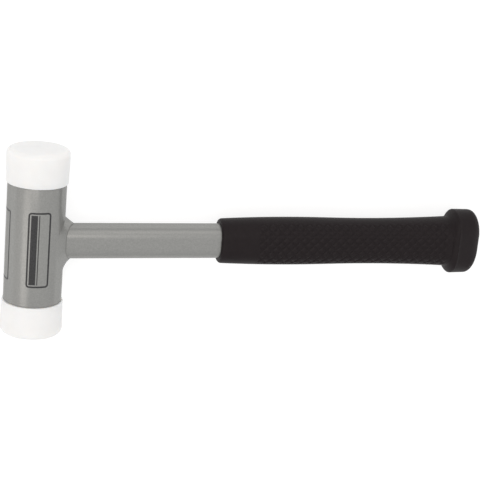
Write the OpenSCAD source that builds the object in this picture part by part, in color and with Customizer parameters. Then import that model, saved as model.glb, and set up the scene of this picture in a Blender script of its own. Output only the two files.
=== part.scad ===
// Soft face hammer with a shot-filled tube head, push-in nylon faces, an oval steel shaft and a rubber grip.
// It lies on its side: +X runs from head to pommel, Y along the head, Z up through the shaft's thickness.

/* [Head tube] */
// Outer diameter of the head tube
head_d = 32.6; // [28:0.2:34]
// Length of the head tube between the two faces
head_len = 68; // [60:1:90]
// Wall of the tube round the shot chamber
chamber_wall = 3.6; // [3.2:0.1:4.5]
// Wall of the tube round the face sockets
socket_wall = 3; // [2:0.1:3]
// Chamfer on the rims of the tube
head_chamfer = 0.5; // [0.2:0.1:0.8]

/* [Nylon faces] */
// Diameter of a face at its widest
face_d = 35; // [34:0.5:42]
// Diameter of a face where it meets the tube
face_base_d = 34.2; // [33:0.2:34.2]
// Length of a face outside the tube
face_len = 19.2; // [12:0.2:30]
// Rounding of the striking edge
face_edge_r = 3.2; // [1:0.2:5]
// Length of the spigot inside the tube
spigot_len = 12; // [10:0.5:14]
// Radial clearance between spigot and socket
spigot_clear = 0.05; // [0.02:0.01:0.1]
// Depth of the grooves between the spigot's grip ribs
groove_depth = 0.7; // [0.3:0.1:1.2]
// Width of a groove on the spigot
groove_w = 1.6; // [1:0.1:2]
// Grooves on a spigot
groove_count = 3; // [1:1:3]
// Lead-in chamfer at the spigot's end
spigot_lead = 1; // [0.4:0.1:1.5]
// Gap between a face and the tube's rim
seat_gap = 0.1; // [0.05:0.05:0.3]

/* [Shot] */
// Diameter of a steel ball
ball_d = 6; // [5:0.1:8]
// Clearance between neighbouring balls
ball_gap = 0.05; // [0.02:0.01:0.1]
// Clearance between the outer balls and the chamber wall
ball_wall_gap = 0.1; // [0.05:0.05:0.2]
// Free room in which the shot can travel along the head
shot_room = 3.5; // [2:0.1:8]
// Thickness of the plates that close the shot chamber
plate_t = 1.5; // [1:0.1:2.5]
// Radial clearance of a plate in its socket
plate_clear = 0.03; // [0.01:0.01:0.05]
// Gap between a plate and the spigot above it
plate_gap = 0.3; // [0.2:0.1:1]

/* [Shaft] */
// Width of the flat-oval shaft, along the head
shaft_w = 20.2; // [18:0.1:22]
// Thickness of the flat-oval shaft
shaft_t = 14.8; // [12:0.1:16]
// Wall of the shaft tube
shaft_wall = 2; // [1.2:0.1:3]
// Bare length, from the head's axis to the grip's mouth
bare_len = 105.5; // [60:0.5:160]
// Gap left at the weld's root
root_gap = 0.02; // [0.01:0.01:0.05]

/* [Weld] */
// Length of the bead along the shaft's rounded edges
weld_edge_leg = 4.3; // [2:0.1:6]
// Length of the bead along the shaft's flat sides
weld_side_leg = 2; // [1:0.1:4]
// Length of the bead along the head
weld_head_leg = 4.2; // [2:0.1:5]
// Height that the bead stands above a straight fillet
weld_crown = 0.35; // [0:0.05:0.6]

/* [Grip] */
// Rubber over the shaft's rounded edges at the mouth
mouth_wall = 2.9; // [2.4:0.1:4]
// Rubber over the shaft's rounded edges at the swell
swell_wall = 4; // [3:0.1:6]
// Rubber over the shaft's rounded edges at the waist
waist_wall = 3.5; // [2.5:0.1:5]
// Rubber over the shaft's rounded edges in front of the pommel
rear_wall = 5; // [3.5:0.1:6.5]
// Rubber over the shaft's flat sides, as a share of that over its edges
side_share = 0.82; // [0.75:0.01:1]
// From the mouth to the swell
swell_len = 44.5; // [30:0.5:70]
// From the swell to the waist
waist_len = 43; // [30:0.5:70]
// From the waist to the pommel's shoulder
rear_len = 54; // [30:0.5:70]
// Rounding of the mouth's lip
lip_r = 1.6; // [0.5:0.1:1.8]
// Clearance between the grip's bore and the shaft
bore_clear = 0.05; // [0.02:0.01:0.1]

/* [Pommel] */
// Rubber over the shaft's rounded edges at the pommel's rim
pommel_wall = 9.4; // [8:0.1:12]
// Rubber over the shaft's flat sides at the pommel's rim
pommel_side_wall = 5.6; // [5:0.1:8]
// Length of the shoulder that rises to the rim
shoulder_len = 3.4; // [2:0.1:8]
// Skew of the shoulder's rise across the width, 1 for an even rise and less for an early one
shoulder_skew = 0.7; // [0.6:0.05:1]
// Length of the rim
rim_len = 8.9; // [4:0.1:20]
// Length of the rounded end behind the rim
end_len = 6.7; // [4:0.1:12]
// Shape of the rounded end, 1 for an oval and less for a fuller one
end_fullness = 0.9; // [0.8:0.05:1]
// Taper of each flat side from the rim to the end
side_taper = 4.9; // [2:0.1:6]
// Width of the flat in the middle of the end
end_flat_w = 13; // [11:0.1:20]
// Thickness of that flat
end_flat_t = 10.8; // [6:0.1:12]
// Rubber behind the end of the shaft
end_cover = 12; // [9:0.5:16]

/* [Hidden] */

// Amount by which a cut runs past the faces that it opens
overrun = 1;
// Counts of steps round and along the curved forms
round_steps = 96;
end_steps = 14;
bead_steps = 4;
station_steps = 7;
edge_steps = 5;
dome_steps = 9;
rim_steps = 3;
ball_steps = 24;

head_r = head_d / 2;
half_head = head_len / 2;
chamber_r = head_r - chamber_wall;
socket_r = head_r - socket_wall;
face_r = face_d / 2;
face_base_r = face_base_d / 2;
spigot_r = socket_r - spigot_clear;
spigot_depth = spigot_len - seat_gap;
groove_pitch = (spigot_len - spigot_lead) / groove_count;
chamber_half = half_head - spigot_depth - plate_gap - plate_t;

ball_r = ball_d / 2;
ball_pitch = ball_d + ball_gap;
ball_row = ball_pitch * sin(60);
ball_layers = floor((2 * chamber_half - shot_room + ball_gap) / ball_pitch);
ball_reach = chamber_r - ball_wall_gap - ball_r;
ball_rows = ceil(ball_reach / ball_row) + 1;

// The shaft's section is two half rounds, centred flat_half either side of its axis
edge_r = shaft_t / 2;
flat_half = (shaft_w - shaft_t) / 2;

// Stations along the grip, measured from the head's axis
mouth_x = bare_len;
swell_x = mouth_x + swell_len;
waist_x = swell_x + waist_len;
shoulder_x = waist_x + rear_len;
rim_x = shoulder_x + shoulder_len;
rim_end_x = rim_x + rim_len;
end_x = rim_end_x + end_len;
shaft_end_x = end_x - end_cover;

// Half widths and half thicknesses of the grip at its rear, rim and end
half_shaft_w = shaft_w / 2;
rear_half_w = half_shaft_w + rear_wall;
rear_half_t = edge_r + side_share * rear_wall;
rim_half_w = half_shaft_w + pommel_wall;
rim_half_t = edge_r + pommel_side_wall;
end_half_w = end_flat_w / 2;
end_half_t = end_flat_t / 2;

// The origin is under the middle of the hammer, on the surface that it lies on
middle_x = (end_x - max(face_r, head_r)) / 2;
rest_z = max(face_r, rim_half_t);

// Section of the shaft, or of a skin that lies a given distance outside it
module oval(out) {
    square([2 * flat_half, 2 * (edge_r + out)], center = true);
    for (side = [-1, 1])
        translate([side * flat_half, 0])
            circle(r = edge_r + out, $fn = round_steps);
}

// Straight length of that section along +X
module oval_bar(from_x, to_x, out) {
    translate([from_x, 0, 0])
        rotate([90, 0, 90])
            linear_extrude(to_x - from_x)
                oval(out);
}

// Round solid whose profile stands along the head's axis
module along_head() {
    rotate([-90, 0, 0])
        rotate_extrude($fn = round_steps)
            children();
}

module place() {
    translate([-middle_x, 0, rest_z])
        children();
}

// Points of the oval in the YZ plane, with the outward direction of each
function edge_angles(side) = [for (i = [0 : end_steps]) side * 90 - 90 + (i / end_steps - 0.5) * 180];
function outward() = [for (side = [1, -1]) for (a = edge_angles(side)) [cos(a), sin(a)]];
function centres() = [for (side = [1, -1]) for (a = edge_angles(side)) side * flat_half];

// Ring of a grip section at x: an oval of the given half width and half thickness
function grip_ring(x, half_w, half_t) = [for (i = [0 : ring_size - 1])
    [x, sign(centre_ys[i]) * (half_w - half_t) + half_t * out_dirs[i][0], half_t * out_dirs[i][1]]];

out_dirs = outward();
centre_ys = centres();
ring_size = len(out_dirs);

// Faces of a closed tube of rings: sides, then the two end caps
function side_faces(rings) =
    [for (k = [0 : rings - 2]) for (i = [0 : ring_size - 1])
        let (j = (i + 1) % ring_size, a = k * ring_size, b = a + ring_size)
        each [[a + i, b + i, b + j], [a + i, b + j, a + j]]];
function cap_faces(rings) = [
    [for (i = [0 : ring_size - 1]) i],
    [for (i = [ring_size - 1 : -1 : 0]) (rings - 1) * ring_size + i]
];

module loft(rings) {
    polyhedron(points = [for (ring = rings) each ring],
        faces = concat(side_faces(len(rings)), cap_faces(len(rings))), convexity = 6);
}

module head_tube() {
    color("darkgray") place() along_head()
        polygon([
            [chamber_r, -chamber_half], [chamber_r, chamber_half],
            [socket_r, chamber_half], [socket_r, half_head - head_chamfer],
            [socket_r + head_chamfer, half_head], [head_r - head_chamfer, half_head],
            [head_r, half_head - head_chamfer], [head_r, head_chamfer - half_head],
            [head_r - head_chamfer, -half_head], [socket_r + head_chamfer, -half_head],
            [socket_r, head_chamfer - half_head], [socket_r, -chamber_half]
        ]);
}

// Nylon face with its ribbed spigot, seat at zero and striking end up
module face_profile() {
    groove_r = spigot_r - groove_depth;
    polygon(concat(
        [[0, -spigot_len], [spigot_r - spigot_lead, -spigot_len], [spigot_r, spigot_lead - spigot_len]],
        [for (i = [0 : groove_count - 1])
            let (mid = spigot_lead - spigot_len + (i + 0.5) * groove_pitch)
            let (low = mid - groove_w / 2, high = mid + groove_w / 2)
            each [[spigot_r, low], [groove_r, low], [groove_r, high], [spigot_r, high]]],
        [[spigot_r, 0], [face_base_r, 0], [face_r, face_len - face_edge_r], [0, face_len - face_edge_r]]
    ));
    translate([0, face_len - face_edge_r - overrun])
        square([face_r - face_edge_r, face_edge_r + overrun]);
    intersection() {
        translate([face_r - face_edge_r, face_len - face_edge_r])
            circle(r = face_edge_r, $fn = round_steps);
        translate([0, face_len - face_edge_r])
            square([face_r, face_edge_r]);
    }
}

module striking_face() {
    translate([0, half_head + seat_gap, 0])
        along_head()
            face_profile();
}

module top_face() {
    color("white") place() striking_face();
}

module bottom_face() {
    color("white") place() mirror([0, 1, 0]) striking_face();
}

// Disc on the shoulder between socket and chamber
module shot_plate() {
    translate([0, chamber_half, 0])
        rotate([-90, 0, 0])
            cylinder(h = plate_t, r = socket_r - plate_clear, $fn = round_steps);
}

module top_shot_plate() {
    color("silver") place() shot_plate();
}

module bottom_shot_plate() {
    color("silver") place() mirror([0, 1, 0]) shot_plate();
}

// Sites of the balls in a layer: a honeycomb round the middle of three balls, out to the chamber
function ball_sites() = [for (row = [-ball_rows : ball_rows], col = [-ball_rows : ball_rows])
    let (site = [(col + row / 2) * ball_pitch, (row + 1 / 3) * ball_row] + [ball_pitch / 2, 0])
    if (norm(site) <= ball_reach) site];

// Layers of balls in the middle of the chamber
module steel_shot() {
    color("lightsteelblue") place()
        for (layer = [0 : ball_layers - 1], site = ball_sites())
            translate([site[0], (layer - (ball_layers - 1) / 2) * ball_pitch, site[1]])
                sphere(r = ball_r, $fn = ball_steps);
}

// The tube's outer surface, by which the shaft and the bead are coped
module head_cope(gap) {
    rotate([90, 0, 0])
        cylinder(h = head_len, r = head_r + gap, center = true, $fn = round_steps);
}

module handle_shaft() {
    color("darkgray") place()
        difference() {
            oval_bar(0, shaft_end_x, 0);
            oval_bar(-overrun, shaft_end_x + overrun, -shaft_wall);
            head_cope(root_gap);
        }
}

// Surface of the head tube at a given height, and the bead's surface at a share of its head leg
function head_x(z) = sqrt(head_r * head_r - z * z);
function bead_leg(dir) = weld_side_leg + (weld_edge_leg - weld_side_leg) * dir[0] * dir[0];
function bead_point(i, share) =
    let (dir = out_dirs[i], radius = edge_r + weld_head_leg * share, z = radius * dir[1])
    [head_x(z) + bead_leg(dir) * (1 - share) + 4 * weld_crown * share * (1 - share),
        centre_ys[i] + radius * dir[0], z];

// Weld bead: rings from under the head's surface over the crown to the toe on the shaft
module bead() {
    root_ring = [for (i = [0 : ring_size - 1]) bead_point(i, 1) - [overrun, 0, 0]];
    bead_rings = [for (k = [bead_steps : -1 : 0])
        [for (i = [0 : ring_size - 1]) bead_point(i, k / bead_steps)]];
    loft(concat([root_ring], bead_rings));
}

module handle_weld() {
    color("darkgray") place()
        difference() {
            bead();
            oval_bar(0, shaft_end_x, root_gap);
            head_cope(root_gap);
        }
}

// Rubber over the shaft at a station between mouth and shoulder
function grip_wall(x) =
    x < swell_x ? swell_wall - (swell_wall - mouth_wall) * pow((swell_x - x) / swell_len, 2) :
    x < waist_x ? swell_wall - (swell_wall - waist_wall) * (1 - cos(180 * (x - swell_x) / waist_len)) / 2 :
    waist_wall + (rear_wall - waist_wall) * pow((x - waist_x) / rear_len, 2);

// Rings of the grip: the rounded lip, the body, the shoulder, the rim and the rounded end
function body_ring(x, inset) =
    grip_ring(x, half_shaft_w + grip_wall(x) - inset, edge_r + side_share * grip_wall(x) - inset);
function lip_rings() = [for (i = [0 : edge_steps - 1])
    let (a = 90 * i / edge_steps)
    body_ring(mouth_x + lip_r * (1 - cos(a)), lip_r * (1 - sin(a)))];
function body_rings() = [for (span = [[mouth_x + lip_r, swell_x], [swell_x, waist_x], [waist_x, shoulder_x]])
    for (i = [0 : station_steps - 1])
        body_ring(span[0] + (span[1] - span[0]) * i / station_steps, 0)];
function shoulder_rings() = [for (i = [0 : edge_steps - 1])
    let (along = i / edge_steps, rise = pow(sin(90 * pow(along, shoulder_skew)), 2))
    grip_ring(shoulder_x + shoulder_len * along,
        rear_half_w + (rim_half_w - rear_half_w) * rise, rear_half_t + (rim_half_t - rear_half_t) * along)];
function pommel_ring(x, share) =
    let (taper = side_taper * (x - rim_x) / (end_x - rim_x))
    grip_ring(x, rim_half_w + (end_half_w - rim_half_w) * share,
        rim_half_t - taper + (end_half_t - rim_half_t + side_taper) * share);
function rim_rings() = [for (i = [0 : rim_steps - 1]) pommel_ring(rim_x + rim_len * i / rim_steps, 0)];
function end_rings() = [for (i = [0 : dome_steps])
    let (a = 90 * i / dome_steps)
    pommel_ring(rim_end_x + end_len * pow(sin(a), end_fullness), 1 - pow(cos(a), end_fullness))];

module grip() {
    color("dimgray") place()
        difference() {
            loft(concat(lip_rings(), body_rings(), shoulder_rings(), rim_rings(), end_rings()));
            oval_bar(mouth_x - overrun, shaft_end_x + bore_clear, bore_clear);
        }
}

head_tube();
top_face();
bottom_face();
top_shot_plate();
bottom_shot_plate();
steel_shot();
handle_shaft();
handle_weld();
grip();
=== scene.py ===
"""Looks of a soft face hammer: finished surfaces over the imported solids, a floor, light and a camera."""

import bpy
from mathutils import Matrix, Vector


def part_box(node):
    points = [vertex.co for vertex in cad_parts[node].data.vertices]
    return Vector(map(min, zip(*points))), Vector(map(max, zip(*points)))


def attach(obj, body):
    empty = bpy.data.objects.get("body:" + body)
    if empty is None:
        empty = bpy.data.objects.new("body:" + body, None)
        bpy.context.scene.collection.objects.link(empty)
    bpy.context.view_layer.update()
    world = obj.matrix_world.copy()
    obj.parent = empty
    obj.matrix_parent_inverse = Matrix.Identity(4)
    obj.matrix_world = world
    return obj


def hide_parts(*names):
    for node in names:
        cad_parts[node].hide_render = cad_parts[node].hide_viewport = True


bl_info = {
    "name": "Soft face hammer looks",
    "version": (1, 0, 0),
    "blender": (4, 5, 0),
    "location": "3D View > Sidebar > Hammer",
    "description": "Builds the finished surfaces of a soft face hammer over its packed solids",
    "category": "Object",
}

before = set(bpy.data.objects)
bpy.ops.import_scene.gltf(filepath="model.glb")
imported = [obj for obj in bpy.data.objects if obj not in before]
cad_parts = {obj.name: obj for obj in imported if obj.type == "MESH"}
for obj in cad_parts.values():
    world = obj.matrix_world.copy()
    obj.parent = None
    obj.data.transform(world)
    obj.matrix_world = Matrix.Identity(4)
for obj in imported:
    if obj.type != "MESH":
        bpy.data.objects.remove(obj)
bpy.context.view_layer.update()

import math

import bmesh
import bpy
from bpy.props import FloatProperty, FloatVectorProperty, IntProperty, PointerProperty
from mathutils import Matrix, Vector

HEAD_LOW, HEAD_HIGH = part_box("head_tube")
FACE_LOW, FACE_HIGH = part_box("top_face")
SHAFT_LOW, SHAFT_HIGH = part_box("handle_shaft")
GRIP_LOW, GRIP_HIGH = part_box("grip")
SHOT_LOW, SHOT_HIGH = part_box("steel_shot")
PLATE_LOW, PLATE_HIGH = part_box("top_shot_plate")

# The head's axis runs along Y through this point, and the handle's along X.
HEAD_MID = (HEAD_LOW + HEAD_HIGH) / 2
HANDLE_Z = (SHAFT_LOW.z + SHAFT_HIGH.z) / 2

# Counts of steps round and along the curved surfaces
TURN_STEPS = 144
ROUND_STEPS = 6
KNURL_STEPS = 12
EDGE_STEPS = 22
BEAD_STEPS = 12

# Edges that bend by more than this are shaded sharp.
SHARP_ANGLE = math.radians(50)
# Most values of a noise lie between these two.
NOISE_LOW, NOISE_HIGH = 0.3, 0.7
# Length of one wave of a wave texture at scale 1
WAVE_LENGTH = math.pi / 10


def length(name, description, default):
    """Property for a length in metres."""
    return FloatProperty(name=name, description=description, default=default, precision=5, unit="LENGTH")


def share(name, description, default):
    """Property for a share from 0 to 1."""
    return FloatProperty(name=name, description=description, default=default, min=0, max=1, subtype="FACTOR")


def colour(name, description, default):
    """Property for a linear colour."""
    return FloatVectorProperty(
        name=name, description=description, default=default, min=0, max=1, subtype="COLOR")


def amount(name, description, default):
    """Property for a plain number."""
    return FloatProperty(name=name, description=description, default=default)


def count(name, description, default):
    """Property for a whole number."""
    return IntProperty(name=name, description=description, default=default, min=1)


class HeadSettings(bpy.types.PropertyGroup):
    """Sizes and paint of the head tube."""
    radius: length("Radius", "Outer radius of the tube", (HEAD_HIGH.x - HEAD_LOW.x) / 2)
    half_length: length("Half length", "Half the length of the tube", (HEAD_HIGH.y - HEAD_LOW.y) / 2)
    socket_wall: length("Socket wall", "Wall of the tube round the face sockets", 0.003)
    chamber_wall: length("Chamber wall", "Wall of the tube round the shot chamber", 0.0036)
    rim_round: length("Rim rounding", "Rounding of the tube's rims", 0.0005)
    paint_dark: colour("Paint, dark", "Darker flakes of the silver paint", (0.233, 0.234, 0.226))
    paint_light: colour("Paint, light", "Lighter flakes of the silver paint", (0.327, 0.328, 0.317))


class FaceSettings(bpy.types.PropertyGroup):
    """Sizes and colour of a nylon face and its spigot."""
    radius: length("Radius", "Largest radius of a face", (FACE_HIGH.z - FACE_LOW.z) / 2)
    base_radius: length("Base radius", "Radius where a face meets the tube", 0.0171)
    edge_round: length("Edge rounding", "Rounding of the striking edge", 0.0032)
    base_round: length("Base rounding", "Rounding of the edge beside the tube", 0.0004)
    seat_gap: length("Seat gap", "Gap between a face and the tube's rim", 0.0001)
    spigot_clear: length("Spigot clearance", "Radial clearance of the spigot in its socket", 0.00005)
    spigot_lead: length("Spigot lead-in", "Rounding of the spigot's tip", 0.001)
    groove_depth: length("Groove depth", "Depth of the grooves between the spigot's ribs", 0.0007)
    groove_width: length("Groove width", "Width of a groove on the spigot", 0.0016)
    groove_count: count("Grooves", "Grooves on a spigot", 3)
    nylon_dark: colour("Nylon, dark", "Darker cloud of the nylon", (0.765, 0.767, 0.764))
    nylon_light: colour("Nylon, light", "Lighter cloud of the nylon", (0.785, 0.787, 0.784))


class ShotSettings(bpy.types.PropertyGroup):
    """Sizes of the balls in the head, and the steel of balls and plates."""
    ball_radius: length("Ball radius", "Radius of a ball", 0.003)
    ball_gap: length("Ball gap", "Gap between neighbouring balls", 0.00005)
    wall_gap: length("Wall gap", "Gap between the outer balls and the chamber", 0.0001)
    ball_mark: length("Ball marks", "Size of the marks on a ball", 0.0016)
    ball_dark: colour("Ball, dark", "Darker marks on a ball", (0.26, 0.26, 0.27))
    ball_light: colour("Ball, light", "Lighter marks on a ball", (0.4, 0.4, 0.41))
    plate_mark: length("Plate marks", "Length of the drawn marks on a plate", 0.0006)
    plate_streak: amount("Plate streaks", "How many times longer than wide the marks on a plate are", 12)
    plate_dark: colour("Plate, dark", "Darker marks on a plate", (0.3, 0.3, 0.3))
    plate_light: colour("Plate, light", "Lighter marks on a plate", (0.46, 0.46, 0.45))


class ShaftSettings(bpy.types.PropertyGroup):
    """Sizes of the flat-oval shaft."""
    half_width: length("Half width", "Half the width of the shaft", (SHAFT_HIGH.y - SHAFT_LOW.y) / 2)
    half_thick: length("Half thickness", "Half the thickness of the shaft", (SHAFT_HIGH.z - SHAFT_LOW.z) / 2)
    wall: length("Wall", "Wall of the shaft tube", 0.002)


class WeldSettings(bpy.types.PropertyGroup):
    """Sizes of the bead that joins shaft and head."""
    upper_leg: length("Upper leg", "Length of the bead along the shaft's upper edge", 0.0048)
    lower_leg: length("Lower leg", "Length of the bead along the shaft's lower edge", 0.0038)
    side_leg: length("Side leg", "Length of the bead along the shaft's flat sides", 0.002)
    upper_spread: length("Upper spread", "Length of the bead along the head above the shaft", 0.0044)
    lower_spread: length("Lower spread", "Length of the bead along the head below the shaft", 0.0068)
    side_spread: length("Side spread", "Length of the bead along the head beside the shaft", 0.0045)
    upper_hollow: amount("Upper hollow", "Hollow of the bead above the shaft, 1 for none", 1.15)
    lower_hollow: amount("Lower hollow", "Hollow of the bead below the shaft, 1 for none", 1.8)
    side_hollow: amount("Side hollow", "Hollow of the bead beside the shaft, 1 for none", 1.5)
    corner_share: share("Corner share", "Share of a leg that grows only close to the shaft's edges", 0.6)
    corner_power: count("Corner power", "How close to the edges that share grows, more for closer", 24)
    toe: length("Toe", "Height of the bead's edge above the shaft", 0.0004)
    ripple: length("Ripple", "Height of the ripples along the bead", 0.00006)
    ripple_count: count("Ripples", "Ripples round the bead", 46)
    root: length("Root", "Depth to which the bead runs under both surfaces", 0.0002)


class GripSettings(bpy.types.PropertyGroup):
    """Sizes and colour of the rubber grip and its pommel."""
    swell_len: length("Mouth to swell", "Length from the mouth to the swell", 0.0445)
    waist_len: length("Swell to waist", "Length from the swell to the waist", 0.043)
    rear_len: length("Waist to shoulder", "Length from the waist to the shoulder", 0.054)
    mouth_wall: length("Mouth wall", "Rubber over the shaft's edges at the mouth", 0.0029)
    swell_wall: length("Swell wall", "Rubber over the shaft's edges at the swell", 0.004)
    waist_wall: length("Waist wall", "Rubber over the shaft's edges at the waist", 0.0035)
    rear_wall: length("Rear wall", "Rubber over the shaft's edges before the pommel", 0.005)
    side_share: share("Side share", "Rubber over the flat sides, as a share of that over the edges", 0.82)
    lip_round: length("Lip rounding", "Rounding of the mouth's lip", 0.0016)
    bore_clear: length("Bore clearance", "Clearance between the bore and the shaft", 0.00005)
    shoulder_len: length("Shoulder", "Length of the shoulder that rises to the rim", 0.0034)
    shoulder_skew: share("Shoulder skew", "Course of the shoulder's rise, 1 for even and less for early", 0.7)
    shoulder_groove: length("Shoulder groove", "Depth of the groove before the rim on the flat sides", 0.0002)
    groove_share: share("Groove share", "Share of the shoulder that lies in front of its slope there", 0.2)
    edge_bead: length("Edge bead", "Height of the fine beads along groove and rim on the flat sides", 0.0002)
    rim_len: length("Rim", "Length of the pommel's rim", 0.0089)
    rim_half_width: length("Rim half width", "Half the width of the rim", (GRIP_HIGH.y - GRIP_LOW.y) / 2)
    rim_half_thick: length(
        "Rim half thickness", "Half the thickness of the rim", (GRIP_HIGH.z - GRIP_LOW.z) / 2)
    side_taper: length("Side taper", "Taper of each flat side from rim to end", 0.0049)
    end_flat_width: length("End flat width", "Width of the flat in the middle of the end", 0.013)
    end_flat_thick: length("End flat thickness", "Thickness of that flat", 0.0108)
    end_fullness: share("End fullness", "Shape of the rounded end, 1 for an oval, less for a fuller one", 0.9)
    knurl_pitch: length("Diamond pitch", "Length of a diamond along the grip", 0.00555)
    knurl_depth: length("Diamond depth", "Depth of the grooves between diamonds", 0.0006)
    knurl_sink: share("Diamond sink", "Share of that depth which lies below the plain grip", 0.6)
    knurl_groove: length("Groove half width", "Half the width of a groove", 0.001)
    panel_start: length("Panel start", "From the mouth to the diamond panels", 0.0215)
    panel_stop: length("Panel stop", "From the diamond panels to the shoulder", 0.0018)
    panel_half_width: length("Panel half width", "Half the width of a panel, round the swell", 0.013875)
    panel_fade: length("Panel fade", "Length over which a panel's edge runs out", 0.0014)
    rubber_dark: colour("Rubber, dark", "Darker patches of the rubber", (0.0102, 0.007, 0.0077))
    rubber_light: colour("Rubber, light", "Lighter patches of the rubber", (0.0121, 0.0085, 0.0093))


class PrintSettings(bpy.types.PropertyGroup):
    """Sizes of the framed panels printed on the head."""
    centre_y: length("Centre", "Middle of the printed panels along the head", -0.0006)
    front_half_length: length("Front half length", "Half the length of the front panel", 0.0216)
    rear_half_length: length("Rear half length", "Half the length of the rear panel", 0.02)
    front_half_width: length("Front half width", "Half the width of the front panel", 0.0064)
    rear_half_width: length("Rear half width", "Half the width of the rear panel", 0.0071)
    corner: length("Corner", "Rounding of the front panel's corners", 0.0019)
    front_line: length("Front line", "Width of the front panel's outline", 0.00095)
    rear_line: length("Rear line", "Width of the rear panel's outline", 0.0008)
    rule_line: length("Rule", "Width of the thin rule beside the dark strip", 0.0005)
    ink_height: length("Ink height", "Height of the ink above the paint", 0.00004)
    strip_width: length("Strip width", "Width of the dark strip in the front panel", 0.0036)
    strip_margin: length("Strip margin", "Gap between the strip and the outline", 0.0007)
    ink_dark: colour("Ink, dark", "Darker patches of the ink", (0.014, 0.014, 0.015))
    ink_light: colour("Ink, light", "Lighter patches of the ink", (0.032, 0.032, 0.034))


class StageSettings(bpy.types.PropertyGroup):
    """Floor, light and camera."""
    lens: FloatProperty(name="Lens", description="Focal length of the camera", default=109.3, unit="CAMERA")
    sensor: FloatProperty(name="Sensor", description="Width of its sensor", default=36, unit="CAMERA")
    distance: length("Distance", "From the camera's target to the camera", 0.84149)
    target: FloatVectorProperty(
        name="Target", description="Point in the middle of the view, from the head's middle",
        default=(0.118508, 0.000374, 0), subtype="TRANSLATION", unit="LENGTH")
    towards_camera: FloatVectorProperty(
        name="Towards camera", description="Direction from the target to the camera",
        default=(-0.27554715, 0.30089931, 0.91298049), subtype="DIRECTION")
    camera_up: FloatVectorProperty(
        name="Camera up", description="Direction that points up in the picture",
        default=(-0.000164, 0.9497328, -0.31306161), subtype="DIRECTION")
    floor_size: length("Floor size", "Side of the floor", 80)
    floor_dark: colour("Floor, dark", "Darker patches of the floor", (0.31, 0.31, 0.31))
    floor_light: colour("Floor, light", "Lighter patches of the floor", (0.33, 0.33, 0.33))
    floor_glow: amount("Floor glow", "Strength of the light from below the floor", 0.76)
    sky: colour("Sky", "Light from all round", (1, 1, 1))
    sky_from: FloatVectorProperty(
        name="Sky from", description="Direction in which the sky is brightest",
        default=(0.4, 0.05, 1), subtype="DIRECTION")
    sky_high: amount("Sky, bright", "Strength of the sky where it is brightest", 0.9)
    sky_low: amount("Sky, dim", "Strength of the sky on the opposite side", 0.58)
    lamp: colour("Lamps", "Colour of the soft lights", (1, 0.94, 0.9))


class HammerSettings(bpy.types.PropertyGroup):
    """All settings of the hammer."""
    head: PointerProperty(type=HeadSettings)
    face: PointerProperty(type=FaceSettings)
    shot: PointerProperty(type=ShotSettings)
    shaft: PointerProperty(type=ShaftSettings)
    weld: PointerProperty(type=WeldSettings)
    grip: PointerProperty(type=GripSettings)
    print: PointerProperty(type=PrintSettings)
    stage: PointerProperty(type=StageSettings)


# Node materials

def surface(name, sockets):
    """A new material, its node tree and its main shader, with these values on the shader's sockets."""
    material = bpy.data.materials.new(name)
    material.use_nodes = True
    tree = material.node_tree
    main = tree.nodes["Principled BSDF"]
    for socket, value in sockets.items():
        main.inputs[socket].default_value = value
    return material, tree, main


def coordinates(tree, offset=(0, 0, 0), scale=(1, 1, 1)):
    """Places on the object in metres, from the given offset and stretched by the given scale."""
    source = tree.nodes.new("ShaderNodeTexCoord")
    mapping = tree.nodes.new("ShaderNodeMapping")
    mapping.inputs["Location"].default_value = [-o * s for o, s in zip(offset, scale)]
    mapping.inputs["Scale"].default_value = scale
    tree.links.new(source.outputs["Object"], mapping.inputs["Vector"])
    return mapping.outputs["Vector"]


def noise(tree, grain, detail=3, stretch=(1, 1, 1), rough=0.5):
    """Noise with spots of about the grain's size in metres, and more fine ones the rougher it is."""
    node = tree.nodes.new("ShaderNodeTexNoise")
    node.inputs["Scale"].default_value = 1 / grain
    node.inputs["Detail"].default_value = detail
    node.inputs["Roughness"].default_value = rough
    tree.links.new(coordinates(tree, scale=stretch), node.inputs["Vector"])
    return node.outputs["Fac"]


def turning_marks(tree, pitch, rings, offset):
    """Fine waves of the given pitch, as rings round the head's axis or as bands along it."""
    node = tree.nodes.new("ShaderNodeTexWave")
    node.wave_type = "RINGS" if rings else "BANDS"
    if rings:
        node.rings_direction = "Y"
    else:
        node.bands_direction = "Y"
    node.inputs["Scale"].default_value = WAVE_LENGTH / pitch
    node.inputs["Distortion"].default_value = 0.6
    node.inputs["Detail"].default_value = 2
    tree.links.new(coordinates(tree, offset), node.inputs["Vector"])
    return node.outputs["Fac"]


def tint(tree, factor, dark, light):
    """Colour that runs from dark to light over the middle of the factor's range."""
    ramp = tree.nodes.new("ShaderNodeValToRGB")
    ramp.color_ramp.elements[0].position = NOISE_LOW
    ramp.color_ramp.elements[1].position = NOISE_HIGH
    ramp.color_ramp.elements[0].color = (*dark, 1)
    ramp.color_ramp.elements[1].color = (*light, 1)
    tree.links.new(factor, ramp.inputs["Fac"])
    return ramp.outputs["Color"]


def spread(tree, factor, low, high):
    """Value that runs from low to high over the middle of the factor's range."""
    node = tree.nodes.new("ShaderNodeMapRange")
    node.inputs["From Min"].default_value = NOISE_LOW
    node.inputs["From Max"].default_value = NOISE_HIGH
    node.inputs["To Min"].default_value = low
    node.inputs["To Max"].default_value = high
    tree.links.new(factor, node.inputs["Value"])
    return node.outputs["Result"]


def relief(tree, main, layers):
    """Bumps on the main shader, one upon the other, from pairs of a height field and its depth in metres."""
    below = None
    for height, depth in layers:
        bump = tree.nodes.new("ShaderNodeBump")
        bump.inputs["Distance"].default_value = depth
        tree.links.new(height, bump.inputs["Height"])
        if below:
            tree.links.new(below, bump.inputs["Normal"])
        below = bump.outputs["Normal"]
    tree.links.new(below, main.inputs["Normal"])


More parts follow.
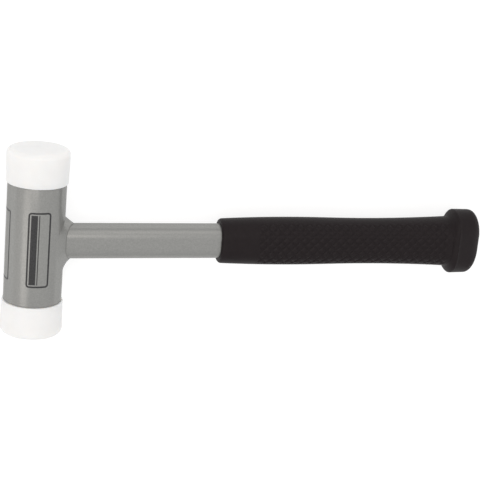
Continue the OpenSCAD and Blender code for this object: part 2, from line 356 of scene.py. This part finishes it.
def silver_paint(head):
    """Satin silver paint with fine metal flakes and a slight orange peel."""
    name = "satin_silver_paint"
    if name in bpy.data.materials:
        return bpy.data.materials[name]
    material, tree, main = surface(name, {"Metallic": 0.55, "IOR": 1.4, "Specular Tint": (0.5, 0.5, 0.5, 1)})
    flakes = noise(tree, grain=0.0009, detail=6, rough=0.85)
    orange_peel = noise(tree, grain=0.0011, detail=2)
    dull_spots = noise(tree, grain=0.0015)
    tree.links.new(tint(tree, flakes, head.paint_dark, head.paint_light), main.inputs["Base Color"])
    tree.links.new(spread(tree, dull_spots, low=0.22, high=0.27), main.inputs["Roughness"])
    relief(tree, main, [(orange_peel, 0.00002), (flakes, 0.00001)])
    return material


def turned_nylon(face):
    """Natural nylon with faint clouds and turning marks: rings on its end, and bands along its side."""
    name = "turned_nylon"
    if name in bpy.data.materials:
        return bpy.data.materials[name]
    material, tree, main = surface(name, {
        "IOR": 1.53, "Subsurface Weight": 0.5, "Subsurface Scale": 0.006, "Subsurface Radius": (1, 0.9, 0.8)})
    clouds = noise(tree, grain=0.006)
    dull_spots = noise(tree, grain=0.0009)
    tree.links.new(tint(tree, clouds, face.nylon_dark, face.nylon_light), main.inputs["Base Color"])
    tree.links.new(spread(tree, dull_spots, low=0.4, high=0.5), main.inputs["Roughness"])
    rings = turning_marks(tree, pitch=0.0006, rings=True, offset=HEAD_MID)
    bands = turning_marks(tree, pitch=0.0005, rings=False, offset=HEAD_MID)
    grain = noise(tree, grain=0.0007)
    relief(tree, main, [(rings, 0.000006), (bands, 0.000006), (grain, 0.00001)])
    return material


def moulded_rubber(grip):
    """Black moulded rubber with a fine matt grain."""
    material, tree, main = surface("moulded_rubber", {"IOR": 1.5, "Specular IOR Level": 0.15})
    patches = noise(tree, grain=0.003)
    grain = noise(tree, grain=0.0005, detail=2)
    tree.links.new(tint(tree, patches, grip.rubber_dark, grip.rubber_light), main.inputs["Base Color"])
    tree.links.new(spread(tree, grain, low=0.5, high=0.6), main.inputs["Roughness"])
    relief(tree, main, [(grain, 0.00003)])
    return material


def bare_steel(name, dark, light, mark, streak=1):
    """Bare steel with fine marks of a given length, drawn out by the streak so that they are thin along Z."""
    material, tree, main = surface(name, {"Metallic": 1.0})
    marks = noise(tree, grain=mark, detail=4, stretch=(1, 1, streak))
    tree.links.new(tint(tree, marks, dark, light), main.inputs["Base Color"])
    tree.links.new(spread(tree, marks, low=0.28, high=0.42), main.inputs["Roughness"])
    relief(tree, main, [(marks, 0.00001)])
    return material


def printing_ink(settings):
    """Thin black ink, slightly uneven."""
    name = "printing_ink"
    if name in bpy.data.materials:
        return bpy.data.materials[name]
    material, tree, main = surface(name, {"IOR": 1.5, "Specular IOR Level": 0.4})
    patches = noise(tree, grain=0.0008)
    tree.links.new(tint(tree, patches, settings.ink_dark, settings.ink_light), main.inputs["Base Color"])
    tree.links.new(spread(tree, patches, low=0.4, high=0.5), main.inputs["Roughness"])
    return material


def pale_floor(stage):
    """Pale sheet, very slightly mottled and lit from below, so that it looks white with hardly a shadow."""
    material, tree, main = surface("pale_floor", {
        "Specular IOR Level": 0.1, "Emission Color": (1, 1, 1, 1), "Emission Strength": stage.floor_glow})
    mottle = noise(tree, grain=0.05)
    tree.links.new(tint(tree, mottle, stage.floor_dark, stage.floor_light), main.inputs["Base Color"])
    tree.links.new(spread(tree, mottle, low=0.8, high=0.9), main.inputs["Roughness"])
    return material


# Meshes

def new_piece(name, points, faces, material):
    """A smooth-shaded mesh object with outward normals."""
    mesh = bpy.data.meshes.new(name)
    mesh.from_pydata(points, [], faces)
    shell = bmesh.new()
    shell.from_mesh(mesh)
    bmesh.ops.recalc_face_normals(shell, faces=shell.faces)
    shell.to_mesh(mesh)
    shell.free()
    mesh.shade_smooth()
    mesh.set_sharp_from_angle(angle=SHARP_ANGLE)
    mesh.materials.append(material)
    piece = bpy.data.objects.new(name, mesh)
    bpy.context.scene.collection.objects.link(piece)
    return piece


def ring_faces(first, second, size):
    """Quads between two closed rings of the same size, given by their first points."""
    return [(first + i, first + (i + 1) % size, second + (i + 1) % size, second + i) for i in range(size)]


def loft(rings, closed=False):
    """Points and faces of a skin through closed rings: joined end to end, or each end closed by a fan."""
    size = len(rings[0])
    points = [p for ring in rings for p in ring]
    faces = []
    for k in range(len(rings) - 1):
        faces += ring_faces(k * size, (k + 1) * size, size)
    last = (len(rings) - 1) * size
    if closed:
        return points, faces + ring_faces(last, 0, size)
    for start, ring in ((0, rings[0]), (last, rings[-1])):
        points.append(tuple(sum(c) / size for c in zip(*ring)))
        faces += [(start + i, start + (i + 1) % size, len(points) - 1) for i in range(size)]
    return points, faces


def rounded(corners, closed):
    """Outline through corners of (radius, y, rounding), with an arc at each corner that has a rounding."""
    outline = []
    for k, (radius, y, rounding) in enumerate(corners):
        here = Vector((radius, y))
        inside = closed or 0 < k < len(corners) - 1
        if not (rounding and inside):
            outline.append(here)
            continue
        before = (Vector(corners[k - 1][:2]) - here).normalized()
        after = (Vector(corners[(k + 1) % len(corners)][:2]) - here).normalized()
        half = before.angle(after) / 2
        middle = here + (before + after).normalized() * rounding / math.sin(half)
        start = here + before * rounding / math.tan(half) - middle
        stop = here + after * rounding / math.tan(half) - middle
        for i in range(ROUND_STEPS + 1):
            outline.append(middle + start.slerp(stop, i / ROUND_STEPS) * rounding)
    return outline


def turned(outline, flip=1):
    """Rings of an outline of (radius, y) turned round the head's axis; flip -1 mirrors it along the head."""
    turns = [2 * math.pi * i / TURN_STEPS for i in range(TURN_STEPS)]
    places = [(math.sin(turn), math.cos(turn)) for turn in turns]
    return [[(HEAD_MID.x + radius * across, flip * y, HEAD_MID.z + radius * up) for across, up in places]
            for radius, y in outline]


def smooth(value):
    """Smooth step from 0 to 1."""
    value = min(max(value, 0), 1)
    return value * value * (3 - 2 * value)


class BuildHead(bpy.types.Operator):
    """Painted head tube with its two sockets"""
    bl_idname = "soft_face_hammer.head"
    bl_label = "Head tube"

    def execute(self, context):
        settings = context.scene.soft_face_hammer
        head = settings.head
        socket = head.radius - head.socket_wall
        chamber = head.radius - head.chamber_wall
        shelf = PLATE_LOW.y
        half = [(head.radius, head.half_length, head.rim_round), (socket, head.half_length, head.rim_round),
                (socket, shelf, 0), (chamber, shelf, 0)]
        corners = half + [(radius, -y, rounding) for radius, y, rounding in reversed(half)]
        points, faces = loft(turned(rounded(corners, True)), closed=True)
        piece = new_piece("painted_head", points, faces, silver_paint(head))
        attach(piece, "hammer")
        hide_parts("head_tube")
        return {"FINISHED"}


class BuildFaces(bpy.types.Operator):
    """Two nylon faces with ribbed spigots"""
    bl_idname = "soft_face_hammer.faces"
    bl_label = "Nylon faces"

    def execute(self, context):
        settings = context.scene.soft_face_hammer
        head, face = settings.head, settings.face
        spigot = head.radius - head.socket_wall - face.spigot_clear
        tip = FACE_LOW.y
        seat = head.half_length + face.seat_gap
        pitch = (seat - tip - face.spigot_lead) / face.groove_count
        corners = [(0, tip, 0), (spigot, tip, face.spigot_lead)]
        for i in range(face.groove_count):
            middle = tip + face.spigot_lead + (i + 0.5) * pitch
            low, high = middle - face.groove_width / 2, middle + face.groove_width / 2
            bottom = spigot - face.groove_depth
            corners += [(spigot, low, 0), (bottom, low, 0), (bottom, high, 0), (spigot, high, 0)]
        flare = (face.radius - face.base_radius) / (FACE_HIGH.y - seat - face.edge_round)
        corner = face.base_radius + flare * (FACE_HIGH.y - seat)
        corners += [(spigot, seat, 0), (face.base_radius, seat, face.base_round),
                    (corner, FACE_HIGH.y, face.edge_round), (0, FACE_HIGH.y, 0)]
        outline = rounded(corners, False)
        for name, node, flip in (("upper_nylon_face", "top_face", 1),
                                 ("lower_nylon_face", "bottom_face", -1)):
            points, faces = loft(turned(outline[1:-1], flip))
            piece = new_piece(name, points, faces, turned_nylon(face))
            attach(piece, node)
            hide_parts(node)
        return {"FINISHED"}


class BuildShot(bpy.types.Operator):
    """Steel balls in the head, and the plates that close their chamber"""
    bl_idname = "soft_face_hammer.shot"
    bl_label = "Shot and plates"

    def execute(self, context):
        settings = context.scene.soft_face_hammer
        head, shot = settings.head, settings.shot
        plate = bare_steel("pressed_plate_steel", shot.plate_dark, shot.plate_light, shot.plate_mark,
                           shot.plate_streak)
        for node in ("top_shot_plate", "bottom_shot_plate"):
            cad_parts[node].data.materials.clear()
            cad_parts[node].data.materials.append(plate)
        pitch = 2 * shot.ball_radius + shot.ball_gap
        row_pitch = pitch * math.sin(math.radians(60))
        reach = head.radius - head.chamber_wall - shot.wall_gap - shot.ball_radius
        layers = round((SHOT_HIGH.y - SHOT_LOW.y + shot.ball_gap) / pitch)
        rows = math.ceil(reach / row_pitch) + 1
        # A honeycomb of balls round the middle of three, out to the chamber's wall, in each layer
        balls = bmesh.new()
        for row in range(-rows, rows + 1):
            for column in range(-rows, rows + 1):
                x = (column + row / 2 + 0.5) * pitch
                z = (row + 1 / 3) * row_pitch
                if math.hypot(x, z) > reach:
                    continue
                for layer in range(layers):
                    y = (layer - (layers - 1) / 2) * pitch
                    place = Matrix.Translation((HEAD_MID.x + x, y, HEAD_MID.z + z))
                    bmesh.ops.create_icosphere(balls, subdivisions=3, radius=shot.ball_radius, matrix=place)
        mesh = bpy.data.meshes.new("loose_shot")
        balls.to_mesh(mesh)
        balls.free()
        mesh.shade_smooth()
        mesh.materials.append(bare_steel("dull_ball_steel", shot.ball_dark, shot.ball_light, shot.ball_mark))
        piece = bpy.data.objects.new("loose_shot", mesh)
        context.scene.collection.objects.link(piece)
        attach(piece, "shot_charge")
        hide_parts("steel_shot")
        return {"FINISHED"}


def head_x(radius, z):
    """Place along X of the head's surface at a height from its axis."""
    return HEAD_MID.x + math.sqrt(radius * radius - z * z)


def oval_turns():
    """Points round an oval: the side on which a round end lies, and the angle of the outward direction."""
    steps = TURN_STEPS // 2
    angles = [math.pi * i / steps for i in range(steps + 1)]
    return [(1, a) for a in angles] + [(-1, math.pi + a) for a in angles]


class BuildShaft(bpy.types.Operator):
    """Painted flat-oval shaft, a tube coped to the head"""
    bl_idname = "soft_face_hammer.shaft"
    bl_label = "Shaft"

    def execute(self, context):
        settings = context.scene.soft_face_hammer
        head, shaft = settings.head, settings.shaft
        flat = shaft.half_width - shaft.half_thick
        rings = []
        for radius, coped in ((shaft.half_thick, True), (shaft.half_thick, False),
                              (shaft.half_thick - shaft.wall, False), (shaft.half_thick - shaft.wall, True)):
            ring = []
            for side, angle in oval_turns():
                z = radius * math.cos(angle)
                x = head_x(head.radius, z) if coped else SHAFT_HIGH.x
                ring.append((x, side * flat + radius * math.sin(angle), HANDLE_Z + z))
            rings.append(ring)
        points, faces = loft(rings, closed=True)
        piece = new_piece("painted_shaft", points, faces, silver_paint(head))
        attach(piece, "hammer")
        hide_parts("handle_shaft")
        return {"FINISHED"}


class BuildWeld(bpy.types.Operator):
    """Painted weld bead between shaft and head"""
    bl_idname = "soft_face_hammer.weld"
    bl_label = "Weld bead"

    def execute(self, context):
        settings = context.scene.soft_face_hammer
        head, shaft, weld = settings.head, settings.shaft, settings.weld
        flat = shaft.half_width - shaft.half_thick
        turns = oval_turns()
        upper = (weld.upper_leg, weld.upper_spread, weld.upper_hollow)
        lower = (weld.lower_leg, weld.lower_spread, weld.lower_hollow)
        beside = (weld.side_spread, weld.side_hollow)

        def bead_ring(along, sink, drop):
            """Ring at a share of the way from the toe on the shaft to the head, sunk into either surface."""
            ring = []
            for i, (side, angle) in enumerate(turns):
                edge = upper if side > 0 else lower
                over = abs(math.sin(angle))
                growth = over ** 2 + weld.corner_share * (over ** weld.corner_power - over ** 2)
                leg = weld.side_leg + (edge[0] - weld.side_leg) * growth
                width, hollow = (s + (e - s) * over ** 2 for s, e in zip(beside, edge[1:]))
                radius = shaft.half_thick + weld.toe + (width - weld.toe) * along - sink
                z = radius * math.cos(angle)
                ripple = weld.ripple * math.sin(2 * math.pi * weld.ripple_count * i / len(turns) + 3 * along)
                height = leg * (1 - along) ** hollow + 4 * along * (1 - along) * ripple
                x = head_x(head.radius, z) + height - drop
                ring.append((x, side * flat + radius * math.sin(angle), HANDLE_Z + z))
            return ring

        rings = [bead_ring(k / BEAD_STEPS, 0, 0) for k in range(BEAD_STEPS + 1)]
        under = weld.toe + weld.root
        rings += [bead_ring(1, 0, weld.root), bead_ring(0, under, weld.side_leg), bead_ring(0, under, 0)]
        points, faces = loft(rings, closed=True)
        piece = new_piece("painted_weld", points, faces, silver_paint(head))
        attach(piece, "hammer")
        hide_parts("handle_weld")
        return {"FINISHED"}


class GripForm:
    """Sections of the grip and the diamonds on its panels."""

    def __init__(self, grip, shaft):
        self.grip, self.shaft = grip, shaft
        self.mouth = GRIP_LOW.x
        self.swell = self.mouth + grip.swell_len
        self.waist = self.swell + grip.waist_len
        self.shoulder = self.waist + grip.rear_len
        self.rim = self.shoulder + grip.shoulder_len
        self.rim_end = self.rim + grip.rim_len
        self.end = GRIP_HIGH.x
        self.panel = (self.mouth + grip.panel_start, self.shoulder - grip.panel_stop)
        side = shaft.half_thick + grip.side_share * grip.swell_wall
        self.flat, self.round = shaft.half_width + grip.swell_wall - side, side
        self.girth = 4 * self.flat + 2 * math.pi * self.round

    def wall(self, x):
        """Rubber over the shaft's edges, from mouth to shoulder."""
        grip = self.grip
        if x < self.swell:
            back = (self.swell - x) / grip.swell_len
            return grip.swell_wall - (grip.swell_wall - grip.mouth_wall) * back ** 2
        if x < self.waist:
            turn = math.pi * (x - self.swell) / grip.waist_len
            return grip.swell_wall - (grip.swell_wall - grip.waist_wall) * (1 - math.cos(turn)) / 2
        return grip.waist_wall + (grip.rear_wall - grip.waist_wall) * ((x - self.waist) / grip.rear_len) ** 2

    def body(self, x, inset=0):
        """Section of the body: its place, half width and half thickness."""
        wall = self.wall(x)
        return (x, self.shaft.half_width + wall - inset,
                self.shaft.half_thick + self.grip.side_share * wall - inset)

    def bore(self, x):
        """Section of the bore round the shaft."""
        return x, self.shaft.half_width + self.grip.bore_clear, self.shaft.half_thick + self.grip.bore_clear

    def pommel(self, x, drawn):
        """Section of the pommel, drawn in by a share towards the flat of its end."""
        grip = self.grip
        taper = grip.side_taper * (x - self.rim) / (self.end - self.rim)
        drawn_thick = grip.end_flat_thick / 2 - grip.rim_half_thick + grip.side_taper
        return (x, grip.rim_half_width + (grip.end_flat_width / 2 - grip.rim_half_width) * drawn,
                grip.rim_half_thick - taper + drawn_thick * drawn)

    def sections(self):
        """All sections, from the bore's end out over the lip to the end of the pommel."""
        grip, steps = self.grip, 2 * ROUND_STEPS
        bore_end = SHAFT_HIGH.x + grip.bore_clear
        found = [self.bore(bore_end), self.bore(self.mouth)]
        for i in range(steps):
            turn = math.pi / 2 * i / steps
            x = self.mouth + grip.lip_round * (1 - math.cos(turn))
            found.append(self.body(x, grip.lip_round * (1 - math.sin(turn))))
        lip_end = self.mouth + grip.lip_round
        step = grip.knurl_pitch / KNURL_STEPS
        for start, stop, pace in ((lip_end, self.panel[0], 3 * step), (*self.panel, step),
                                  (self.panel[1], self.shoulder, 2 * step)):
            spans = math.ceil((stop - start) / pace)
            found += [self.body(start + (stop - start) * i / spans) for i in range(spans)]
        rear, rim = self.body(self.shoulder), self.pommel(self.rim, 0)
        for i in range(2 * steps):
            along = i / (2 * steps)
            x = self.shoulder + grip.shoulder_len * along
            rise = math.sin(math.pi / 2 * along ** grip.shoulder_skew) ** 2
            # On the flat sides a bead falls off into the groove, and the groove runs out up the slope.
            foot = along / grip.groove_share
            bead = grip.edge_bead * (1 - smooth(2.5 * foot))
            groove = grip.shoulder_groove * smooth(2 * foot) * (1 - smooth((foot - 1) / 1.5))
            slope = max(along - grip.groove_share, 0) / (1 - grip.groove_share)
            half_thick = rear[2] + (rim[2] - rear[2]) * slope - groove + bead
            found.append((x, rear[1] + (rim[1] - rear[1]) * rise, half_thick))
        found.append((self.rim, rim[1], rim[2] + grip.edge_bead))
        rim_start = self.rim + 2 * grip.edge_bead
        for i in range(ROUND_STEPS):
            found.append(self.pommel(rim_start + (self.rim_end - rim_start) * i / ROUND_STEPS, 0))
        for i in range(steps + 1):
            turn = math.pi / 2 * i / steps
            x = self.rim_end + (self.end - self.rim_end) * math.sin(turn) ** grip.end_fullness
            found.append(self.pommel(x, 1 - math.cos(turn) ** grip.end_fullness))
        return found

    def places(self):
        """Places round the swell, from the middle of the upper panel, close together on both panels."""
        half = self.grip.panel_half_width
        steps = round(2 * half / self.grip.knurl_pitch * KNURL_STEPS)
        gap = self.girth / 2 - 2 * half
        once = [-half + 2 * half * i / steps for i in range(steps)]
        once += [half + gap * i / EDGE_STEPS for i in range(EDGE_STEPS)]
        return once + [place + self.girth / 2 for place in once]

    def turn(self, place):
        """Share of the flat and outward angle at a place round the swell."""
        half = self.girth / 2
        back = place >= half / 2 and place < half * 3 / 2
        offset = place - half if back else place - self.girth if place >= half * 3 / 2 else place
        beyond = max(abs(offset) - self.flat, 0) / self.round
        lean = math.copysign(beyond, offset)
        if back:
            return math.copysign(min(abs(offset) / self.flat, 1), -offset), math.pi + lean
        return math.copysign(min(abs(offset) / self.flat, 1), offset), lean

    def lift(self, x, place):
        """Height of the diamonds above the plain grip."""
        grip = self.grip
        half = self.girth / 2
        offset = place - half if place > half / 2 else place
        inside = min(x - self.panel[0], self.panel[1] - x, grip.panel_half_width - abs(offset))
        if inside <= 0:
            return 0
        along = x - self.panel[0]
        lines = [(along + offset) / grip.knurl_pitch, (along - offset) / grip.knurl_pitch]
        near = min(abs(line - round(line)) for line in lines) * grip.knurl_pitch / math.sqrt(2)
        height = grip.knurl_depth * (smooth(near / grip.knurl_groove) - grip.knurl_sink)
        return height * smooth(inside / grip.panel_fade)

    def rings(self):
        """Rings of points over all sections, with the diamonds raised."""
        places = self.places()
        turns = [self.turn(place) for place in places]
        rings = []
        for k, (x, half_width, half_thick) in enumerate(self.sections()):
            ring = []
            for place, (flat, angle) in zip(places, turns):
                radius = half_thick + (self.lift(x, place) if k > 1 else 0)
                y = flat * (half_width - half_thick) + radius * math.sin(angle)
                ring.append((x, y, HANDLE_Z + radius * math.cos(angle)))
            rings.append(ring)
        return rings


class BuildGrip(bpy.types.Operator):
    """Rubber grip with diamond panels and a pommel"""
    bl_idname = "soft_face_hammer.grip"
    bl_label = "Grip"

    def execute(self, context):
        settings = context.scene.soft_face_hammer
        form = GripForm(settings.grip, settings.shaft)
        points, faces = loft(form.rings())
        piece = new_piece("rubber_grip", points, faces, moulded_rubber(settings.grip))
        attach(piece, "hammer")
        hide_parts("grip")
        return {"FINISHED"}


class HeadPrint:
    """Thin closed plates of ink that lie on the head's surface."""

    def __init__(self, head, height, bearing):
        self.head, self.height, self.bearing = head, height, bearing
        self.points, self.faces = [], []

    def place(self, across, y, lift):
        """Point on the head, a given arc from the print's middle line."""
        angle = self.bearing + across / self.head.radius
        radius = self.head.radius + lift
        return HEAD_MID.x + radius * math.sin(angle), y, HEAD_MID.z + radius * math.cos(angle)

    def add(self, points, faces):
        """Join one more plate to the print."""
        start = len(self.points)
        self.points += points
        self.faces += [tuple(start + i for i in face) for face in faces]

    def band(self, outer, inner):
        """Closed band between two outlines of the same count."""
        rings = []
        for outline, side in ((outer, 1), (inner, 1), (inner, -1), (outer, -1)):
            rings.append([self.place(across, y, side * self.height) for across, y in outline])
        self.add(*loft(rings, closed=True))

    def frame(self, middle, half, corner, line):
        """Outline of a panel with rounded corners."""
        outlines = []
        for inset in (0, line):
            radius = max(corner - inset, line / 4)
            outline = []
            for quarter in range(4):
                side_x = 1 if quarter in (0, 3) else -1
                side_y = 1 if quarter in (0, 1) else -1
                centre = (side_x * (half[0] - inset - radius), middle + side_y * (half[1] - inset - radius))
                for i in range(ROUND_STEPS + 1):
                    turn = math.pi / 2 * (quarter + i / ROUND_STEPS)
                    outline.append((centre[0] + radius * math.cos(turn), centre[1] + radius * math.sin(turn)))
                if quarter in (0, 2):
                    outline += self.crossing(outline[-1], half[0] - inset - radius)
            outlines.append(outline)
        self.band(*outlines)

    def crossing(self, corner, reach):
        """Points across the head after a corner, so that the line follows the round."""
        side = math.copysign(1, corner[0])
        return [(side * reach * (1 - i / ROUND_STEPS), corner[1]) for i in range(1, 2 * ROUND_STEPS)]

    def bar(self, left, right, low, high):
        """Plain filled bar."""
        steps = 2 * ROUND_STEPS
        section = ((low, self.height), (high, self.height), (high, -self.height), (low, -self.height))
        rings = []
        for i in range(steps + 1):
            across = left + (right - left) * i / steps
            rings.append([self.place(across, y, lift) for y, lift in section])
        self.add(*loft(rings))


class BuildPrints(bpy.types.Operator):
    """Plain framed panels printed on the front and rear of the head"""
    bl_idname = "soft_face_hammer.prints"
    bl_label = "Printed panels"

    def execute(self, context):
        settings = context.scene.soft_face_hammer
        head, ink = settings.head, settings.print
        front = HeadPrint(head, ink.ink_height, 0)
        half = (ink.front_half_width, ink.front_half_length)
        front.frame(ink.centre_y, half, ink.corner, ink.front_line)
        margin = ink.front_line + ink.strip_margin
        left = margin - half[0]
        low, high = ink.centre_y - half[1] + margin, ink.centre_y + half[1] - margin
        front.bar(left, left + ink.strip_width, low, high)
        rule = left + ink.strip_width + ink.strip_margin
        front.bar(rule, rule + ink.rule_line, low, high)
        rear = HeadPrint(head, ink.ink_height, -math.pi / 2)
        rear_half = (ink.rear_half_width, ink.rear_half_length)
        rear.frame(ink.centre_y, rear_half, ink.rear_line, ink.rear_line)
        for name, form in (("front_print", front), ("rear_print", rear)):
            piece = new_piece(name, form.points, form.faces, printing_ink(ink))
            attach(piece, "hammer")
        return {"FINISHED"}


# Round soft lights: each one's place and width in metres, and its power in watts
LAMPS = {
    "left_light": ((-0.82, -0.35, 0.82), 0.62, 0.85),
    "low_left_light": ((-1.1, -0.4, 0.45), 0.9, 0.6),
    "upper_light": ((0.15, 0.95, 0.75), 0.62, 0.45),
    "right_light": ((1.1, 0.45, 0.35), 0.9, 0.7),
    "front_light": ((-0.45, 0.42, 1.4), 1.25, 7),
}


class BuildStage(bpy.types.Operator):
    """Pale floor, soft studio light and the camera"""
    bl_idname = "soft_face_hammer.stage"
    bl_label = "Stage"

    def execute(self, context):
        stage = context.scene.soft_face_hammer.stage
        half = stage.floor_size / 2
        corners = [(-half, -half, 0), (half, -half, 0), (half, half, 0), (-half, half, 0)]
        floor = new_piece("floor", corners, [(0, 1, 2, 3)], pale_floor(stage))
        self.soft_sky(context, stage)
        for name, (place, size, power) in LAMPS.items():
            self.soft_light(context, name, place, size, power)
        target = Vector((HEAD_MID.x, 0, HEAD_MID.z)) + Vector(stage.target)
        back = Vector(stage.towards_camera).normalized()
        right = Vector(stage.camera_up).cross(back).normalized()
        up = back.cross(right)
        camera = bpy.data.cameras.new("photo_camera")
        camera.lens = stage.lens
        camera.sensor_width = stage.sensor
        viewer = bpy.data.objects.new("photo_camera", camera)
        turn = Matrix((right, up, back)).transposed().to_4x4()
        viewer.matrix_world = Matrix.Translation(target + back * stage.distance) @ turn
        context.scene.collection.objects.link(viewer)
        context.scene.camera = viewer
        context.scene.view_settings.view_transform = "Standard"
        return {"FINISHED"}

    def soft_sky(self, context, stage):
        """Pale surroundings, brightest in one direction and dimmest on the opposite side."""
        world = bpy.data.worlds.new("studio")
        world.use_nodes = True
        tree = world.node_tree
        sky = tree.nodes["Background"]
        sky.inputs["Color"].default_value = (*stage.sky, 1)
        direction = tree.nodes.new("ShaderNodeTexCoord")
        facing = tree.nodes.new("ShaderNodeVectorMath")
        facing.operation = "DOT_PRODUCT"
        facing.inputs[1].default_value = Vector(stage.sky_from).normalized()
        strength = tree.nodes.new("ShaderNodeMapRange")
        strength.inputs["From Min"].default_value = -1
        strength.inputs["To Min"].default_value = stage.sky_low
        strength.inputs["To Max"].default_value = stage.sky_high
        tree.links.new(direction.outputs["Generated"], facing.inputs[0])
        tree.links.new(facing.outputs["Value"], strength.inputs["Value"])
        tree.links.new(strength.outputs["Result"], sky.inputs["Strength"])
        context.scene.world = world

    def soft_light(self, context, name, place, size, power):
        """Round soft light that faces the middle of the hammer."""
        lamp = bpy.data.lights.new(name, "AREA")
        lamp.shape = "DISK"
        lamp.color = context.scene.soft_face_hammer.stage.lamp
        lamp.size = size
        lamp.energy = power
        light = bpy.data.objects.new(name, lamp)
        light.location = place
        light.rotation_euler = (-light.location).to_track_quat("-Z", "Y").to_euler()
        context.scene.collection.objects.link(light)


class HammerPanel(bpy.types.Panel):
    """Sizes, colours and build steps of the hammer"""
    bl_idname = "VIEW3D_PT_soft_face_hammer"
    bl_label = "Soft face hammer"
    bl_space_type = "VIEW_3D"
    bl_region_type = "UI"
    bl_category = "Hammer"

    def draw(self, context):
        settings = context.scene.soft_face_hammer
        for group_name in settings.__annotations__:
            group = getattr(settings, group_name)
            box = self.layout.box()
            for name in group.__annotations__:
                box.prop(group, name)
        for operator in OPERATORS:
            self.layout.operator(operator.bl_idname)


SETTINGS = (HeadSettings, FaceSettings, ShotSettings, ShaftSettings, WeldSettings, GripSettings,
            PrintSettings, StageSettings, HammerSettings)
OPERATORS = (BuildHead, BuildFaces, BuildShot, BuildShaft, BuildWeld, BuildGrip, BuildPrints, BuildStage)


def register():
    for item in (*SETTINGS, *OPERATORS, HammerPanel):
        bpy.utils.register_class(item)
    bpy.types.Scene.soft_face_hammer = PointerProperty(type=HammerSettings)


def unregister():
    del bpy.types.Scene.soft_face_hammer
    for item in reversed((*SETTINGS, *OPERATORS, HammerPanel)):
        bpy.utils.unregister_class(item)


def main():
    """Build the whole hammer and its stage."""
    register()
    bpy.ops.soft_face_hammer.head()
    bpy.ops.soft_face_hammer.faces()
    bpy.ops.soft_face_hammer.shot()
    bpy.ops.soft_face_hammer.shaft()
    bpy.ops.soft_face_hammer.weld()
    bpy.ops.soft_face_hammer.grip()
    bpy.ops.soft_face_hammer.prints()
    bpy.ops.soft_face_hammer.stage()
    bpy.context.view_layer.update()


if __name__ == "__main__":
    main()
